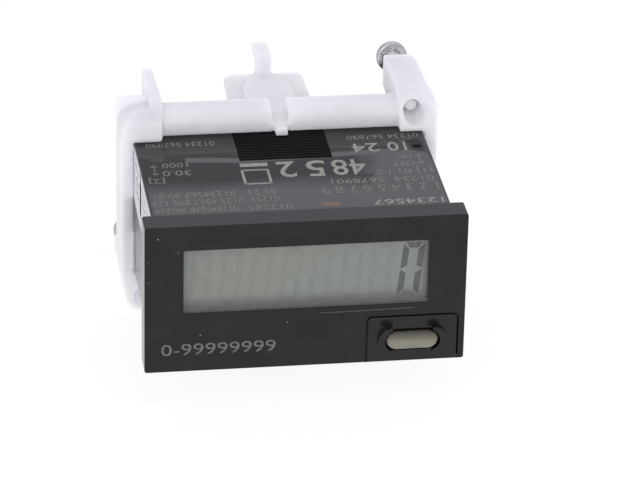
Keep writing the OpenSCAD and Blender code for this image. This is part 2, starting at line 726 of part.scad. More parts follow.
// Lower screw lug, measured upwards like the upper one: a round boss with a tapering end of the side arm
module lower_lug() {
    slab(bracket_y, lug_end) polygon(concat([[lug_x, ring_z], [lug_x, screw_z + boss_r]],
        arc([screw_x, screw_z], boss_r, 90, 0, 12), [[screw_x + boss_r, ring_z]]));
    slab(bracket_y, ring_end) polygon([[ring_w, ring_z - arm_end], [arm_x, ring_z - arm_end],
        [screw_x + boss_r, screw_z], [screw_x, screw_z], [screw_x, ring_z]]);
}

// Pawl plate behind the rail, with its tongue, its pad and its thumb tab
module pawl() {
    half = pawl_w / 2;
    end = ring_end + pawl_d;
    low = ring_z;
    translate([0, 0, low]) linear_extrude(pawl_t) polygon(concat([[-half, ring_end - 2]],
        arc([-half + pawl_taper + pawl_edge_r, end - pawl_edge_r], pawl_edge_r, 180, 90, 6),
        arc([half - pawl_taper - pawl_edge_r, end - pawl_edge_r], pawl_edge_r, 90, 0, 6),
            [[half, ring_end - 2]]));
    translate([0, 0, low + pawl_t - 0.01]) linear_extrude(pad_t)
        polygon(concat([[-pad_w / 2, ring_end - 1]], [for (a = [180 : -9 : 0])
            [pad_w / 2 * cos(a), end - pad_margin - pad_arch_d * (1 - sin(a))]],
            [[pad_w / 2, ring_end - 1]]));
    block([tongue_x - tongue_w / 2, bracket_y + 0.4, low],
        [tongue_x + tongue_w / 2, ring_end, low + tongue_t]);
    fin(-thumb_w / 2, thumb_w / 2) polygon([[end - post_d - 1, low],
        [end - post_d + 0.2, low + pawl_t + thumb_h],
        [end - post_d - 0.6 + thumb_d, low + pawl_t + thumb_h],
            [end - post_d + thumb_d, low + pawl_t + thumb_h - 0.6],
        [end - post_d + thumb_d, low + pawl_t + thumb_h - thumb_arm_t],
        [end + 0.3, low + pawl_t + thumb_h - thumb_arm_t], [end - 0.1, low]]);
}

// Rail, corner block and pawl of one half of the bracket, measured from the bracket's middle
module half_bracket() {
    rail();
    corner_block();
    pawl();
}

// Side arm up to end, with a shallow rebate along its inner front edge and a fillet at its lower end,
// which low signs
module side_arm(end, low) {
    difference() {
        block([ring_w, bracket_y, -ring_z - 0.01], [arm_x, ring_end, end]);
        block([ring_w - 1, bracket_y - 1, -ring_z + rebate_far],
            [ring_w + arm_rebate_w, bracket_y + arm_rebate_d, ring_z - rebate_near]);
    }
    mirror([0, 0, low < 0 ? 1 : 0]) slab(rail_y, ring_end)
        polygon([[ring_w + 0.1, ring_z - fillet_h], [ring_w - fillet_w, ring_z + 0.1],
            [ring_w + 0.1, ring_z + 0.1]]);
}

// Clamp bracket, one moulding that slides over the case from behind
module mounting_bracket() color("#e6e5ea") translate([0, 0, -bracket_drop]) difference() {
    union() {
        half_bracket();
        upper_lug();
        side_arm(ring_z + 0.01, -1);
        rotate([0, 180, 0]) {
            half_bracket();
            lower_lug();
            side_arm(ring_z - arm_end + 0.01, 1);
        }
    }
    for (s = [-1, 1]) bar_y(s * screw_x, s * screw_z, bracket_y - 1, lug_end + 1,
        clamp_dia / 2 + screw_clear);
}

// Label on the left side, cut away round the switch slot
module side_label() color("#e8e8ea") difference() {
    block([-case_w / 2 - label_t, label_y, label_top - label_h],
        [-case_w / 2, label_y + label_d, label_top]);
    block([-case_w / 2 - 1, slot_y - slot_w / 2, knob_low - 0.8],
        [-case_w / 2 + 1, slot_y + slot_w / 2, case_h]);
}

case_shell();
rear_cover();
display_lens();
lcd_panel();
lcd_reflector();
lcd_holder();
contact_strip(1);  // contact_strip_upper
contact_strip(-1);  // contact_strip_lower
display_board();
main_board();
board_link();
controller_chip();
clock_crystal();
storage_capacitor();
input_isolator();
chip_resistors();
battery_cell();
battery_tab_lower();
battery_tab_upper();
key_panel();
reset_key();
key_dome();
switch_body(-1);  // switch_body_left
switch_body(1);  // switch_body_right
switch_knob(-1);  // switch_knob_left
switch_knob(1);  // switch_knob_right
terminal_plate(0);  // terminal_plate_1
terminal_plate(1);  // terminal_plate_2
terminal_plate(2);  // terminal_plate_3
terminal_plate(3);  // terminal_plate_4
terminal_washer(0);  // terminal_washer_1
terminal_washer(1);  // terminal_washer_2
terminal_washer(2);  // terminal_washer_3
terminal_washer(3);  // terminal_washer_4
terminal_screw(0);  // terminal_screw_1
terminal_screw(1);  // terminal_screw_2
terminal_screw(2);  // terminal_screw_3
terminal_screw(3);  // terminal_screw_4
mounting_bracket();
clamp_screw(1);  // clamp_screw_upper
clamp_screw(-1);  // clamp_screw_lower
side_label();
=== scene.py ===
"""Looks of a panel-mounted pulse counter with its clamp bracket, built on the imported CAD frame."""
import json
import math
import bmesh
import bpy
from mathutils import Matrix, Vector

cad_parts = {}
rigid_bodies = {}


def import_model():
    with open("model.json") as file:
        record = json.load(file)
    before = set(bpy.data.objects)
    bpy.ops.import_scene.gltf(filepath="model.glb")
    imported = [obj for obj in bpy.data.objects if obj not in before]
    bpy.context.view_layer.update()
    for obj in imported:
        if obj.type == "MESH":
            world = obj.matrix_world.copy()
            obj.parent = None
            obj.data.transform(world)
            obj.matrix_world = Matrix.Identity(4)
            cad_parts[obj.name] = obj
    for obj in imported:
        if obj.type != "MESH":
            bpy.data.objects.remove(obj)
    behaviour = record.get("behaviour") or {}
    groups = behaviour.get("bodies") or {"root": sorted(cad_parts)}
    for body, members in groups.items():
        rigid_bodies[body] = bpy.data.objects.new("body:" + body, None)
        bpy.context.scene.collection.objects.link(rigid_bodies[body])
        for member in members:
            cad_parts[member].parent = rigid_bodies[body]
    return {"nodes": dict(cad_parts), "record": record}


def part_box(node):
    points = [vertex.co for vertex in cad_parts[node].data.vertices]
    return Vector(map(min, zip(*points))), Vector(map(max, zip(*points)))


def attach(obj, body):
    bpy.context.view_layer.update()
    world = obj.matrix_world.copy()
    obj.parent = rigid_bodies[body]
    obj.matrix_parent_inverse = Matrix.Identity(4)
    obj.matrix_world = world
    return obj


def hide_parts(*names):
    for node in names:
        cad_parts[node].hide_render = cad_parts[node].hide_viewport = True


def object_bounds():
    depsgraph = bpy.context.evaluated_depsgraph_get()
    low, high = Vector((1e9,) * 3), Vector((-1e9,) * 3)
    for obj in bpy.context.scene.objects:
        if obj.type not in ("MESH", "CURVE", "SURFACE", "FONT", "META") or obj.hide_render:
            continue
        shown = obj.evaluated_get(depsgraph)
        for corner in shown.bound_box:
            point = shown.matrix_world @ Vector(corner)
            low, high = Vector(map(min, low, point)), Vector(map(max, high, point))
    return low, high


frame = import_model()
cad_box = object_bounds()
MM = 0.001

# Sizes shared with the CAD model, in millimetres
FRONT_Y = -4.1
BEZEL_HALF_W, BEZEL_HALF_H = 24.0, 12.0
CASE_HALF_W, CASE_TOP = 22.4, 11.0
COVER_END = 41.3
LENS_Y, SHELF_Y, GLASS_Y, SILL_Z = -3.95, -2.95, -2.5, -2.2
WINDOW_LEFT, WINDOW_RIGHT, WINDOW_LOW, WINDOW_HIGH = -18.24, 18.36, -2.36, 8.03
RECESS_HALF_W, RECESS_LOW, RECESS_HIGH = 19.55, -3.4, 9.2
BRACKET_Y, BRACKET_DROP, RING_HALF_W, RING_HALF_H = 26.5, 0.8, 22.6, 12.05
DIMPLE_X, DIMPLE_Y = 20.5, 21.8
RIDGE_HALF_W, RIDGE_START = 7.1, 19.2
GROOVES_X, GROOVE_W = (9.15, 22.8), 0.25
CLAMP_RADIUS, CLAMP_X, CLAMP_HEAD_Y, CLAMP_TIP_Y = 1.5, 21.0, 49.2, 31.2
CLAMP_Z = {"upper": 13.55, "lower": -15.15}
TERMINAL_PITCH, TERMINAL_HEAD_Y, TERMINAL_RADIUS = 10.4, 46.4, 1.75

# Sizes that only the looks have, in millimetres and degrees
GRAIN, GRAIN_DEPTH = 0.16, 0.004
# Middles of the painted dark reflections over the finger guards, X and Z in millimetres
GUARD_REFLECTION_SPOTS = ((12.15, -5.6), (19.2, -5.8))
PRINT = 0.02
LAID_ON = 0.01
RIB_H, RIB_LOW, RIB_TOP, RIB_D = 0.16, -10.4, -4.0, 6.8
NEAR, SMALL_EDGE, SMOOTH_ANGLE = 0.02, 0.12, 32


# Materials

def linear(red, green, blue, alpha=1.0):
    """A colour given as it looks on a screen, 0 to 255, as the shader wants it."""
    parts = [v / 255 for v in (red, green, blue)]
    return (*[v / 12.92 if v <= 0.04045 else ((v + 0.055) / 1.055) ** 2.4 for v in parts], alpha)


class Value:
    """A value inside a material, which Python's own operators turn into Math nodes."""

    def __init__(self, finish, socket):
        self.finish, self.socket = finish, socket

    def maths(self, operation, *others):
        return self.finish.node("Math", {"operation": operation}, dict(enumerate((self, *others))))

    def __add__(self, other):
        return self.maths("ADD", other)

    def __sub__(self, other):
        return self.maths("SUBTRACT", other)

    def __mul__(self, other):
        return self.maths("MULTIPLY", other)

    def __rsub__(self, other):
        return self.maths("MULTIPLY_ADD", -1.0, other)

    __radd__, __rmul__ = __add__, __mul__

    def squared(self):
        return self.maths("POWER", 2.0)

    def ramp(self, low, high):
        """0 below low, 1 above high, smooth between them."""
        return self.finish.node("MapRange", {"interpolation_type": "SMOOTHSTEP"},
                                {"Value": self, "From Min": low, "From Max": high})


class Finish:
    """One material on a Principled shader, with patterns laid in the piece's own coordinates."""

    def __init__(self, name, **fixed):
        self.material = bpy.data.materials.new(name)
        self.material.use_nodes = True
        self.tree = self.material.node_tree
        self.shader = self.tree.nodes["Principled BSDF"]
        self.where = self.node("TexCoord", {}, {}, "Object")
        self.set(**fixed)

    def node(self, kind, settings, sockets, output=0):
        made = self.tree.nodes.new("ShaderNode" + kind)
        for key, value in settings.items():
            setattr(made, key, value)
        for key, value in sockets.items():
            self.feed(made.inputs[key], value)
        return Value(self, made.outputs[output])

    def feed(self, socket, value):
        if isinstance(value, Value):
            self.tree.links.new(value.socket, socket)
        else:
            socket.default_value = value

    def set(self, **sockets):
        for key, value in sockets.items():
            self.feed(self.shader.inputs[key.replace("_", " ")], value)
        return self

    def axis(self, letter):
        """The X, Y or Z place on the piece, in millimetres."""
        return self.node("SeparateXYZ", {}, {0: self.where}, letter) * (1 / MM)

    def noise(self, size, detail=2.0, stretch=(1, 1, 1)):
        """Cloudy pattern whose blots are about size millimetres across."""
        spread = self.node("Mapping", {}, {"Vector": self.where,
                                           "Scale": tuple(s / (size * MM) for s in stretch)})
        return self.node("TexNoise", {}, {"Vector": spread, "Scale": 1.0, "Detail": detail})

    def specks(self, spacing, radius):
        """1 in a few dots of about radius millimetres, set about spacing millimetres apart."""
        spread = self.node("Mapping", {}, {"Vector": self.where, "Scale": (1 / (spacing * MM),) * 3})
        near = self.node("TexVoronoi", {}, {"Vector": spread, "Scale": 1.0}, "Distance")
        return 1.0 - near.ramp(0.6 * radius / spacing, radius / spacing)

    def blend(self, share, one, other):
        return self.node("Mix", {"data_type": "RGBA"}, {"Factor": share, 6: one, 7: other}, 2)

    def where_masked(self, mask, **other):
        """Shows a second Principled shader with its own settings where the mask is 1."""
        second = self.tree.nodes.new("ShaderNodeBsdfPrincipled")
        for key, value in other.items():
            self.feed(second.inputs[key.replace("_", " ")], value)
        both = self.node("MixShader", {}, {0: mask, 1: Value(self, self.shader.outputs[0]),
                                           2: Value(self, second.outputs[0])})
        self.feed(self.tree.nodes["Material Output"].inputs["Surface"], both)
        return self

    def relief(self, height, depth):
        """Bumps of depth millimetres from a height of 0 to 1."""
        bump = self.node("Bump", {}, {"Height": height, "Distance": depth * MM, "Strength": 1.0})
        return self.set(Normal=bump)


def moulded(name, colour, roughness, grain=GRAIN, depth=GRAIN_DEPTH, **fixed):
    """Moulded plastic: a fine eroded grain, with a faint cloud in its colour and gloss."""
    finish = Finish(name, **fixed)
    cloud, fine = finish.noise(5.0, detail=3.0), finish.noise(grain)
    cloud_gloss, grain_gloss = 0.12, 0.1
    darker, lighter = (tuple(v * share for v in colour[:3]) + (1.0,) for share in (0.82, 1.15))
    finish.set(Base_Color=finish.blend(cloud.ramp(0.3, 0.7), darker, lighter))
    even = roughness - (cloud_gloss + grain_gloss) / 2
    finish.set(Roughness=cloud * cloud_gloss + fine * grain_gloss + even)
    return finish.relief(fine, depth)


def case_plastic():
    """Black case plastic: satin on the bezel's face with dust specks, polished behind it, dull in the
    ratchet ridges and in the small dimple on top, whose hollow is painted a lighter grey as painted
    light."""
    finish = Finish("black_case_plastic", Specular_IOR_Level=0.33)
    across, along, height = (finish.axis(letter) for letter in "XYZ")
    behind = along.ramp(-0.3, 0.0)
    side = across.maths("ABSOLUTE").ramp(BEZEL_HALF_W - 0.12, BEZEL_HALF_W - 0.02)
    top = height.ramp(CASE_TOP - 1.0, CASE_TOP - 0.9)
    polish = behind.maths("MAXIMUM", side)
    satin = 1.0 - polish

    cloud, fine = finish.noise(6.0, detail=3.0), finish.noise(GRAIN)
    finish.relief(fine * satin, GRAIN_DEPTH)
    finish.set(Roughness=satin * 0.3 + 0.01 + cloud * (satin * 0.035 + 0.005) + fine * satin * 0.08)
    body = finish.blend(cloud.ramp(0.3, 0.7), linear(12, 12, 15), linear(20, 20, 24))
    dusty = finish.noise(9.0).ramp(0.5, 0.6) * (1.0 - behind)
    dust = finish.specks(spacing=2.0, radius=0.1) * dusty
    finish.set(Base_Color=finish.blend(dust, body, linear(190, 190, 192)))

    edge = 0.02
    within = 1.0 - across.maths("ABSOLUTE").ramp(RIDGE_HALF_W - edge, RIDGE_HALF_W + edge)
    ridges = within * along.ramp(RIDGE_START - edge, RIDGE_START + edge) * top
    aside, beyond = across - DIMPLE_X, (along - DIMPLE_Y) * 0.5
    from_dimple = (aside.squared() + beyond.squared()).maths("SQRT")
    dimple = (1.0 - from_dimple.ramp(0.2, 1.4)) * top * behind * 0.85
    bezel_side = side * (1.0 - behind) * 0.24
    dull = ridges.maths("MAXIMUM", dimple).maths("MAXIMUM", bezel_side)
    # Painted light: the hollow of the dimple is painted mid grey, which lifts the shade in it.
    pit = (1.0 - from_dimple.ramp(0.5, 0.9)) * behind
    return finish.where_masked(dull, Base_Color=finish.blend(pit, body, linear(58, 58, 60)),
                               Roughness=fine * 0.2 + 0.4, Specular_IOR_Level=0.06)


def key_panel_plastic():
    """Black plastic of the key's panel, with a painted dark reflection of each finger guard as a
    darker, duller soft spot over it.
    """
    finish = moulded("key_panel_plastic", linear(18, 18, 21), 0.24, Specular_IOR_Level=0.36)
    across, height = finish.axis("X"), finish.axis("Z")
    # Painted reflection: a soft dark, dull spot above each finger guard, where the panel would mirror
    # the guard.
    left, right = (1.0 - (((across - x) * 0.75).squared() + (height - z).squared())
                   .maths("SQRT").ramp(0.3, 1.0) for x, z in GUARD_REFLECTION_SPOTS)
    return finish.where_masked(left.maths("MAXIMUM", right) * 0.9, Base_Color=linear(14, 14, 16),
                               Roughness=0.5, Specular_IOR_Level=0.08)


def display_film():
    """Grey-green display behind its glass, with painted shade along the lower edge and at the right,
    where the bezel shades it.
    """
    finish = Finish("display_film", Roughness=0.35, Specular_IOR_Level=0.2)
    across, height = finish.axis("X"), finish.axis("Z")
    cloud = finish.noise(9.0).ramp(0.35, 0.65)
    streak = finish.noise(1.2, detail=3.0, stretch=(1, 1, 0.1)).ramp(0.3, 0.7) * 0.16
    # Painted shade: darker towards the bottom and at the right edge.
    low_painted_shade, right_painted_shade = 1.0 - height.ramp(-2.4, 0.1), across.ramp(17.3, 18.2) * 0.75
    film = finish.blend(cloud, linear(127, 129, 118), linear(125, 129, 123))
    film = finish.blend(streak, film, linear(116, 119, 113))
    film = finish.blend(low_painted_shade, film, linear(98, 97, 99))
    return finish.set(Base_Color=finish.blend(right_painted_shade, film, linear(88, 88, 90)))


def plated(name, colour, tint, roughness=0.3, tip_painted_light=None):
    """Plated metal: brushed very finely, with a passivation tint that comes and goes; a given tip
    colour is painted light on the end of a clamp screw, lightening it where it sits in the bore."""
    finish = Finish(name, Metallic=1.0)
    patch = finish.noise(1.6, detail=3.0).ramp(0.4, 0.65)
    fine = finish.noise(0.25, detail=3.0, stretch=(1, 0.3, 1))
    body = finish.blend(patch, colour, tint)
    if tip_painted_light:
        # Painted light: the screw's end is lighter where it sits in the lit bore.
        body = finish.blend(finish.axis("Y").ramp(CLAMP_TIP_Y, CLAMP_TIP_Y + 1.5), tip_painted_light, body)
    brushed = 0.16
    finish.set(Base_Color=body, Roughness=fine * brushed + (roughness - brushed / 2))
    return finish.relief(fine, GRAIN_DEPTH)


def board_mask():
    """Green solder mask with faint copper tracks under it."""
    finish = Finish("green_solder_mask", Roughness=0.35)
    track = finish.noise(1.4, detail=0.0, stretch=(1, 0.25, 1)).ramp(0.5, 0.54)
    finish.set(Base_Color=finish.blend(track, linear(24, 74, 38), linear(48, 104, 58)))
    return finish.relief(track, 0.02)


def nylon():
    """Cool white nylon that light goes well into, with a soft sheen, a faint flow cloud and a faint
    glow of painted light that lifts its shadows.
    """
    # The emission is painted light: a faint glow that lifts the shade on the nylon.
    finish = Finish("white_nylon", Subsurface_Weight=1.0, Subsurface_Radius=(1.0, 0.97, 1.04),
                    Subsurface_Scale=4.5 * MM, Specular_IOR_Level=0.35,
                    Emission_Color=linear(226, 224, 229), Emission_Strength=0.26)
    cloud, fine = finish.noise(7.0, detail=3.0), finish.noise(0.35, detail=3.0)
    body = finish.blend(cloud.ramp(0.35, 0.65), linear(198, 197, 201), linear(205, 204, 208))
    finish.set(Base_Color=body, Roughness=cloud * 0.1 + fine * 0.1 + 0.36)
    return finish.relief(fine, 0.005)


def key_plastic():
    """Warm grey key with painted shade: its upper part darker and browner and, at its very top, nearly
    black, where the key falls into shadow.
    """
    finish = moulded("warm_grey_key", linear(150, 146, 128), 0.32, grain=0.3)
    height = finish.axis("Z")
    # Painted shade: the key darkens upwards and is nearly black along its top edge.
    upper, rim = height.ramp(-8.8, -7.4), height.ramp(-7.5, -7.0)
    cloud = finish.noise(2.0, detail=3.0).ramp(0.3, 0.7)
    body = finish.blend(cloud, linear(121, 117, 104), linear(132, 127, 114))
    body = finish.blend(upper, body, linear(84, 78, 67))
    return finish.set(Base_Color=finish.blend(rim, body, linear(44, 40, 35)))


def lens_clear():
    """Clear window lens."""
    finish = Finish("clear_lens", Alpha=0.07, Base_Color=linear(200, 205, 205))
    return finish.set(Roughness=finish.noise(2.0) * 0.05 + 0.03)


def ink(name, colour, cover, patch=0.5):
    """Pad-printed ink, thin and a little patchy; cover is how much it hides."""
    finish = Finish(name, Roughness=0.5)
    thin = finish.noise(patch, detail=3.0)
    darker = tuple(v * 0.8 for v in colour[:3]) + (1.0,)
    finish.set(Base_Color=finish.blend(thin.ramp(0.35, 0.65), darker, colour))
    return finish.set(Alpha=thin.ramp(0.2, 0.5) * (cover * 0.25) + cover * 0.75)


FINISHES = {
    "black_case": case_plastic(),
    "black_cover": moulded("black_cover_plastic", linear(21, 21, 23), 0.42),
    "clear_lens": lens_clear(),
    "lcd_glass": display_film(),
    "reflector": moulded("reflector_film", linear(176, 178, 170), 0.4),
    "white_plastic": moulded("off_white_plastic", linear(222, 221, 214), 0.45),
    "contact_rubber": moulded("contact_rubber", linear(66, 67, 72), 0.7, grain=0.4, depth=0.01),
    "green_board": board_mask(),
    "black_part": moulded("black_epoxy", linear(30, 30, 32), 0.55, grain=0.3, depth=0.01),
    "bright_can": plated("nickelled_can", linear(200, 202, 204), linear(188, 189, 186), 0.28),
    "capacitor_sleeve": moulded("capacitor_sleeve", linear(38, 48, 84), 0.3, grain=0.6),
    "spring_metal": plated("spring_strip", linear(204, 205, 204), linear(190, 188, 180)),
    "black_key_panel": key_panel_plastic(),
    "grey_key": key_plastic(),
    "terminal_metal": plated("terminal_plating", linear(206, 204, 196), linear(190, 182, 160)),
    "white_nylon": nylon(),
    # The tip colour is painted light for the screw's end inside the bore.
    "clamp_metal": plated("passivated_zinc", linear(194, 194, 196), linear(180, 180, 181), 0.34,
                          tip_painted_light=linear(244, 244, 242)),
    "label_film": moulded("label_film", linear(226, 226, 230), 0.3, grain=1.5),
}
SLOT_OF = {row["node"]: row["material_slot"] for row in frame["record"]["subparts"]}
BODY_OF = {node: body for body, nodes in frame["record"]["behaviour"]["bodies"].items()
           for node in nodes}
for node, piece in frame["nodes"].items():
    for place in piece.material_slots:
        place.material = FINISHES[SLOT_OF[node]].material


# Mesh helpers

def new_piece(name, mesh, slot, body, *nodes, finish=None):
    """A mesh as a piece: its material, the body that it rides on, and the nodes it stands for."""
    piece = bpy.data.objects.new(name, mesh)
    bpy.context.collection.objects.link(piece)
    mesh.materials.clear()
    mesh.materials.append((finish or FINISHES[slot]).material)
    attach(piece, body)
    if nodes:
        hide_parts(*nodes)
    return piece


def on_counter(name, mesh, finish=None):
    """A piece that rides on the case and takes its slot."""
    return new_piece(name, mesh, "black_case", "counter", finish=finish)


def mesh_of(work, name):
    """The mesh of a bmesh that is then done with."""
    mesh = bpy.data.meshes.new(name)
    work.to_mesh(mesh)
    work.free()
    return mesh


def shaded(mesh):
    """The mesh with smooth faces that meet crisply at its sharp edges."""
    mesh.shade_smooth()
    mesh.set_sharp_from_angle(angle=math.radians(SMOOTH_ANGLE))
    return mesh


def placed(mesh, matrix):
    mesh.transform(matrix)
    return mesh


def joined_mesh(node):
    """Copy of a CAD node's mesh with its loose triangles joined into flat faces."""
    same_point, same_plane = 0.0005 * MM, math.radians(0.5)
    work = bmesh.new()
    work.from_mesh(frame["nodes"][node].data)
    bmesh.ops.remove_doubles(work, verts=work.verts, dist=same_point)
    bmesh.ops.dissolve_limit(work, angle_limit=same_plane, verts=work.verts, edges=work.edges)
    work.verts.index_update()
    corners = [v.co.copy() for v in work.verts]
    faces = [[v.index for v in face.verts] for face in work.faces]
    work.free()
    mesh = bpy.data.meshes.new(node + "_shape")
    mesh.from_pydata(corners, [], faces)
    return mesh


def evaluated(bench):
    """The plain mesh of an object with all that is on it, which is then removed."""
    bpy.context.collection.objects.link(bench)
    seen = bench.evaluated_get(bpy.context.evaluated_depsgraph_get())
    result = bpy.data.meshes.new_from_object(seen)
    bpy.data.objects.remove(bench)
    return result


def baked(mesh, *modifiers):
    """The mesh with modifiers applied, each given as its kind and its settings."""
    bench = bpy.data.objects.new("bench", mesh)
    for kind, settings in modifiers:
        made = bench.modifiers.new(kind.lower(), kind)
        for key, value in settings.items():
            setattr(made, key, value)
    return evaluated(bench)


def round_edges(mesh, width, chosen=None, segments=3, least_angle=28):
    """Rounds by width millimetres the edges sharper than least_angle whose ends are chosen."""
    work = bmesh.new()
    work.from_mesh(mesh)
    weight = work.edges.layers.float.new("bevel_weight_edge")
    for edge in work.edges:
        sharp = len(edge.link_faces) == 2 and edge.calc_face_angle(0) > math.radians(least_angle)
        if sharp and (chosen is None or all(chosen(*(v.co / MM)) for v in edge.verts)):
            edge[weight] = 1.0
    work.to_mesh(mesh)
    work.free()
    return baked(shaded(mesh), ("BEVEL", {
        "width": width * MM, "segments": segments, "limit_method": "WEIGHT",
        "use_clamp_overlap": False, "harden_normals": True}))


def smooth_copy(node, name, width=0.0, chosen=None, segments=3):
    """A CAD node's shape again with smooth round faces and, given a width, rounded edges."""
    mesh = joined_mesh(node)
    mesh = round_edges(mesh, width, chosen, segments) if width else shaded(mesh)
    return new_piece(name, mesh, SLOT_OF[node], BODY_OF[node], node)


def prisms(outlines, place, thickness):
    """Flat closed plates; place turns a point of an outline and a height into X, Y and Z."""
    work = bmesh.new()
    for outline in outlines:
        low, high = ([work.verts.new(Vector(place(u, v, h)) * MM) for u, v in outline]
                     for h in (0, thickness))
        work.faces.new(low)
        work.faces.new(high)
        for i in range(len(outline)):
            j = (i + 1) % len(outline)
            work.faces.new((low[i], low[j], high[j], high[i]))
    bmesh.ops.recalc_face_normals(work, faces=work.faces)
    return mesh_of(work, "plates")


def on_case_top(u, v, h):
    return u, v, CASE_TOP + h


def on_front(u, v, h):
    return u, FRONT_Y - h, v


def on_glass(u, v, h):
    return u, GLASS_Y - LAID_ON - h, v


def on_shelf(u, v, h):
    return u, SHELF_Y - LAID_ON - h, v


def on_sill(u, v, h):
    return u, v, SILL_Z + h


def in_groove(u, v, h):
    return u, FRONT_Y + 0.04 + h, v


def rectangle(left, right, low, high):
    return [(left, low), (right, low), (right, high), (left, high)]


def stroke(x1, y1, x2, y2, width):
    """Outline of a straight line of the given width."""
    across = Vector((y1 - y2, x2 - x1)).normalized() * (width / 2)
    return [(x1 + across.x, y1 + across.y), (x1 - across.x, y1 - across.y),
            (x2 - across.x, y2 - across.y), (x2 + across.x, y2 + across.y)]


def rounded_corners(left, right, low, high, radius, steps=5):
    """Points round a rectangle with rounded corners, as many for each radius."""
    middles = ((right - radius, high - radius, 0), (left + radius, high - radius, 90),
               (left + radius, low + radius, 180), (right - radius, low + radius, 270))
    turns = [(x, z, math.radians(start + 90 * i / steps))
             for x, z, start in middles for i in range(steps + 1)]
    return [(x + radius * math.cos(turn), z + radius * math.sin(turn)) for x, z, turn in turns]


def flat_ring(inner, outer, near, far):
    """A closed ring in X and Z between two outlines with as many points, near to far in Y."""
    work = bmesh.new()
    loops = [[work.verts.new(Vector((x, y, z)) * MM) for x, z in outline] for outline, y in
             ((inner, near), (outer, near), (outer, far), (inner, far))]
    for first, second in zip(loops, loops[1:] + loops[:1]):
        for i in range(len(first)):
            j = (i + 1) % len(first)
            work.faces.new((first[i], first[j], second[j], second[i]))
    bmesh.ops.recalc_face_normals(work, faces=work.faces)
    return mesh_of(work, "ring")


class Rule:
    """A Geometry Nodes tree with named inputs, made a plain mesh when it is finished."""

    def __init__(self, name, **sizes):
        self.tree = bpy.data.node_groups.new(name, "GeometryNodeTree")
        self.sizes = sizes
        self.ids = {}
        for way in ("INPUT", "OUTPUT"):
            self.tree.interface.new_socket("Geometry", in_out=way, socket_type="NodeSocketGeometry")
        for label, value in sizes.items():
            kind = {int: "Int", tuple: "Vector", float: "Float"}[type(value)]
            socket = self.tree.interface.new_socket(label, in_out="INPUT",
                                                    socket_type="NodeSocket" + kind)
            self.ids[label] = socket.identifier
        self.start = self.tree.nodes.new("NodeGroupInput")

    def __getitem__(self, label):
        return self.start.outputs[label]

    def node(self, kind, settings, sockets):
        made = self.tree.nodes.new(kind)
        for key, value in settings.items():
            setattr(made, key, value)
        for key, value in sockets.items():
            if isinstance(value, bpy.types.NodeSocket):
                self.tree.links.new(value, made.inputs[key])
            else:
                made.inputs[key].default_value = value
        return made.outputs[0]

    def maths(self, operation, one, other):
        return self.node("ShaderNodeMath", {"operation": operation}, {0: one, 1: other})

    def mesh(self, geometry, finish, start=None):
        """Ends the tree and returns its plain mesh, run on the start mesh if there is one."""
        real = self.node("GeometryNodeRealizeInstances", {}, {0: geometry})
        painted = self.node("GeometryNodeSetMaterial", {},
                            {"Geometry": real, "Material": finish.material})
        end = self.tree.nodes.new("NodeGroupOutput")
        self.tree.links.new(painted, end.inputs[0])
        bench = bpy.data.objects.new("bench", start or bpy.data.meshes.new("empty"))
        modifier = bench.modifiers.new("rule", "NODES")
        modifier.node_group = self.tree
        for label, value in self.sizes.items():
            modifier[self.ids[label]] = value
        return evaluated(bench)


# Case and front

def case_edges(x, y, z):
    """The bezel's outline, front and back, and the rims of the openings in its face."""
    on_face, lip_x, lip_z, corner_r = abs(y - FRONT_Y) < NEAR, 0.5, 0.3, 0.8
    outer_back = abs(y) < NEAR and (abs(x) > CASE_HALF_W + lip_x or abs(z) > CASE_TOP + lip_z)
    corner = abs(x) > BEZEL_HALF_W - corner_r and abs(z) > BEZEL_HALF_H - corner_r and y < NEAR
    return on_face or outer_back or corner


smooth_copy("case_shell", "case_and_bezel", 0.1, case_edges)
smooth_copy("rear_cover", "rear_cover_moulding", 0.15, lambda x, y, z: y > COVER_END - NEAR)
smooth_copy("key_panel", "key_panel_moulding", 0.09, lambda x, y, z: y < FRONT_Y + NEAR)
smooth_copy("reset_key", "reset_key_cap", 0.42, lambda x, y, z: y < FRONT_Y, segments=5)
smooth_copy("switch_knob_left", "left_knob", SMALL_EDGE)
smooth_copy("switch_knob_right", "right_knob", SMALL_EDGE)


# Display

def segment_outlines():
    """The seven bars of a sloping digit, around its own middle, by their usual letters."""
    half_w, half_h, bar, end, slant = 1.63, 4.48, 0.92, 0.42, 0.11
    bars = {
        "a": [(-half_w + 0.4, half_h), (half_w - 0.4, half_h),
              (half_w - 0.95, half_h - 0.95), (-half_w + 0.95, half_h - 0.95)],
        "f": [(-half_w, half_h - 0.4), (-half_w + 0.12, half_h - 0.33), (-half_w + bar, half_h - 1.18),
              (-half_w + bar, 0.62), (-half_w + 0.1, 0.13), (-half_w, 0.18)],
        "g": [(-half_w + 0.45, 0), (-half_w + 0.85, end), (half_w - 0.85, end),
              (half_w - 0.45, 0), (half_w - 0.85, -end), (-half_w + 0.85, -end)],
    }
    bars["b"] = [(-x, z) for x, z in bars["f"]]
    bars["d"] = [(x, -z) for x, z in bars["a"]]
    bars["e"] = [(x, -z) for x, z in bars["f"]]
    bars["c"] = [(-x, -z) for x, z in bars["f"]]
    return {letter: [(x + slant * z, z) for x, z in outline] for letter, outline in bars.items()}


DIGIT_X, DIGIT_Z, DIGIT_PITCH = 15.88, 2.55, 4.5
LIT_T, UNLIT_T = 0.02, 0.01
BARS = segment_outlines()


def last_place(u, v, h):
    return on_glass(u + DIGIT_X, v + DIGIT_Z, h)


def display_bars(name, mesh, finish):
    return new_piece(name, mesh, "lcd_glass", "counter", finish=finish)


